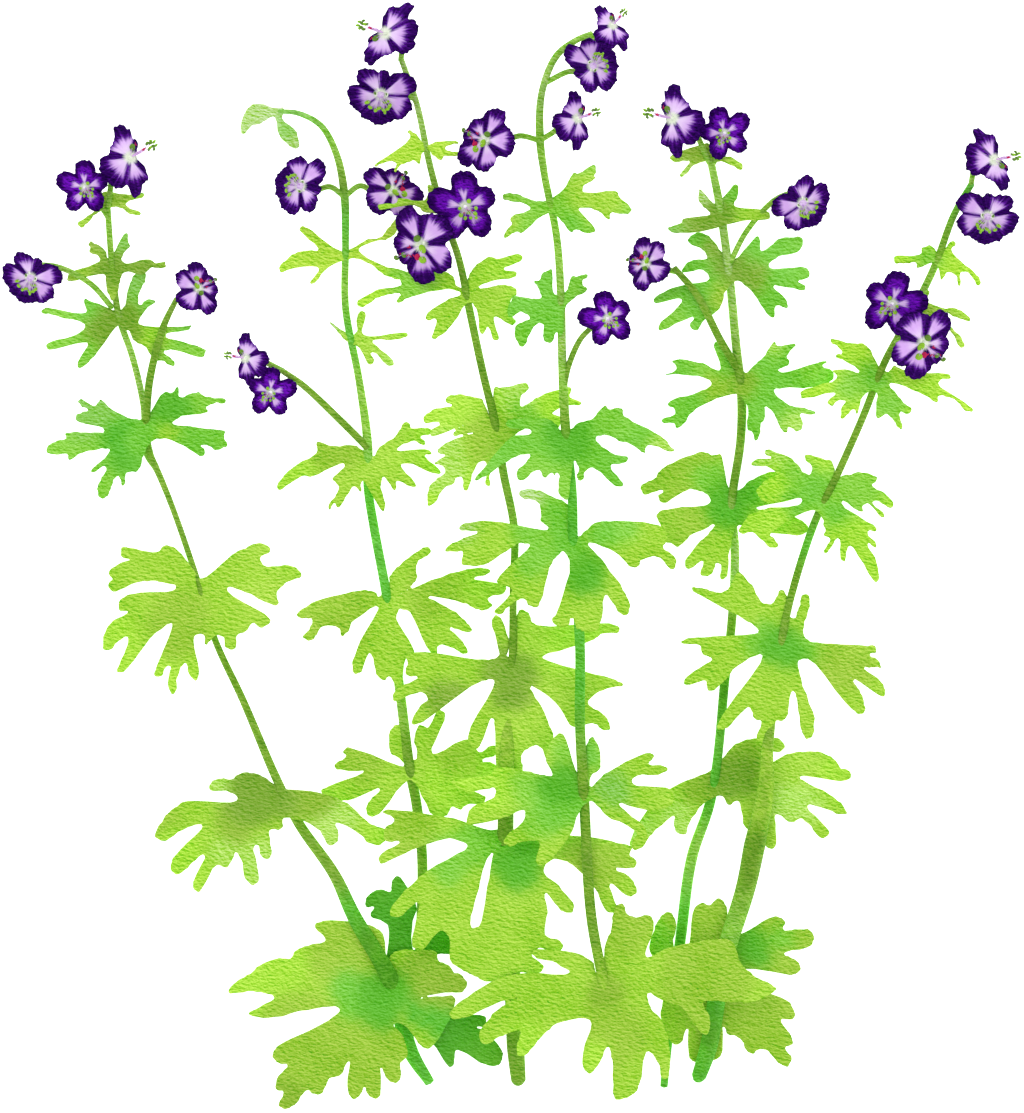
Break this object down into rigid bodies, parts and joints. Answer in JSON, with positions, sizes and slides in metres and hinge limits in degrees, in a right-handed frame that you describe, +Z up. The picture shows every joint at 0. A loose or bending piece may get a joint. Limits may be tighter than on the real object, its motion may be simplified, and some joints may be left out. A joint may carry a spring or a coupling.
{
  "type": "hardy geranium",
  "caption": "Cut clump of a garden perennial, laid flat: slender stems with deeply lobed palm-shaped leaves, topped by small ruffled violet blooms on thin stalks.",
  "frame": {"origin": "middle of the clump in plan, at the surface it lies on", "axes": "+X to the clump's right, +Y from the cut feet of the stems to the blooms, +Z up from the surface"},
  "size_m": [0.459, 0.4986, 0.0414],
  "materials": {
    "stem_and_leaf": "matt green plant tissue",
    "petal": "matt velvety",
    "bloom_centre": "matt"
  },
  "bodies": {
    "root": {"stem_1": "stem_and_leaf", "stem_2": "stem_and_leaf", "stem_3": "stem_and_leaf", "stem_4": "stem_and_leaf", "stem_5": "stem_and_leaf", "stem_6": "stem_and_leaf", "bloom_01_petals": "petal", "bloom_01_centre": "bloom_centre", "bloom_02_petals": "petal", "bloom_02_centre": "bloom_centre", "bloom_03_petals": "petal", "bloom_03_centre": "bloom_centre", "bloom_04_petals": "petal", "bloom_04_centre": "bloom_centre", "bloom_05_petals": "petal", "bloom_05_centre": "bloom_centre", "bloom_06_petals": "petal", "bloom_06_centre": "bloom_centre", "bloom_07_petals": "petal", "bloom_07_centre": "bloom_centre", "bloom_08_petals": "petal", "bloom_08_centre": "bloom_centre", "bloom_09_petals": "petal", "bloom_09_centre": "bloom_centre", "bloom_10_petals": "petal", "bloom_10_centre": "bloom_centre", "bloom_11_petals": "petal", "bloom_11_centre": "bloom_centre", "bloom_12_petals": "petal", "bloom_12_centre": "bloom_centre", "bloom_13_petals": "petal", "bloom_13_centre": "bloom_centre", "bloom_14_petals": "petal", "bloom_14_centre": "bloom_centre", "bloom_15_petals": "petal", "bloom_15_centre": "bloom_centre", "bloom_16_petals": "petal", "bloom_16_centre": "bloom_centre", "bloom_17_petals": "petal", "bloom_17_centre": "bloom_centre", "bloom_18_petals": "petal", "bloom_18_centre": "bloom_centre", "bloom_19_petals": "petal", "bloom_19_centre": "bloom_centre", "bloom_20_petals": "petal", "bloom_20_centre": "bloom_centre", "bloom_21_petals": "petal", "bloom_21_centre": "bloom_centre", "bloom_22_petals": "petal", "bloom_22_centre": "bloom_centre", "bloom_23_petals": "petal", "bloom_23_centre": "bloom_centre", "bloom_24_petals": "petal", "bloom_24_centre": "bloom_centre", "bloom_25_petals": "petal", "bloom_25_centre": "bloom_centre"}
  },
  "joints": []
}
